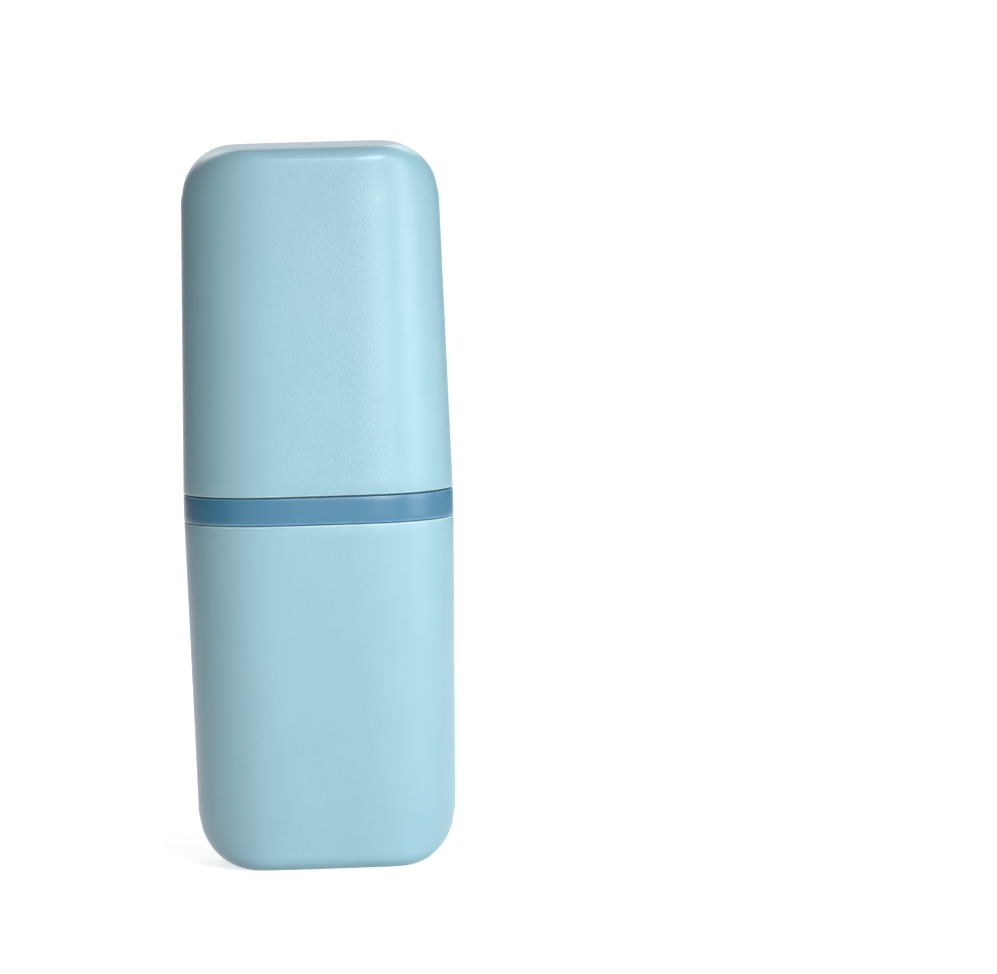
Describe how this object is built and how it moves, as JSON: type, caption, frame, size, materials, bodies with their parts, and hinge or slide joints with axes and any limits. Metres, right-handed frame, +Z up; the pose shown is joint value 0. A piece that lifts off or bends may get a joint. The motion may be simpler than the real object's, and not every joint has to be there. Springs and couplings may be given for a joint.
{
  "type": "toothbrush travel case",
  "caption": "Oblong toothbrush travel case whose matching cups meet mouth to mouth on a contrasting coupling ring and pull apart for use as rinse cups.",
  "frame": {"origin": "middle of the lower cup's end face, on which the closed case stands", "axes": "+Z up, along the case from the lower cup to the upper cup; X across the width; -Y is the front, +Y the back, through the thickness"},
  "size_m": [0.0768, 0.05, 0.205],
  "materials": {
    "light_blue_plastic": "fine matte texture, as moulded",
    "dark_blue_plastic": "satin, as moulded"
  },
  "bodies": {
    "lower": {"lower_cup": "light_blue_plastic"},
    "ring": {"coupling_ring": "dark_blue_plastic"},
    "upper": {"upper_cup": "light_blue_plastic"}
  },
  "joints": [
    {"name": "ring_lift", "type": "slide", "parent": "lower", "child": "ring", "axis": [0, 0, 1], "range_m": [0, 0.03]},
    {"name": "upper_cup_lift", "type": "slide", "parent": "ring", "child": "upper", "axis": [0, 0, 1], "range_m": [0, 0.11]}
  ]
}
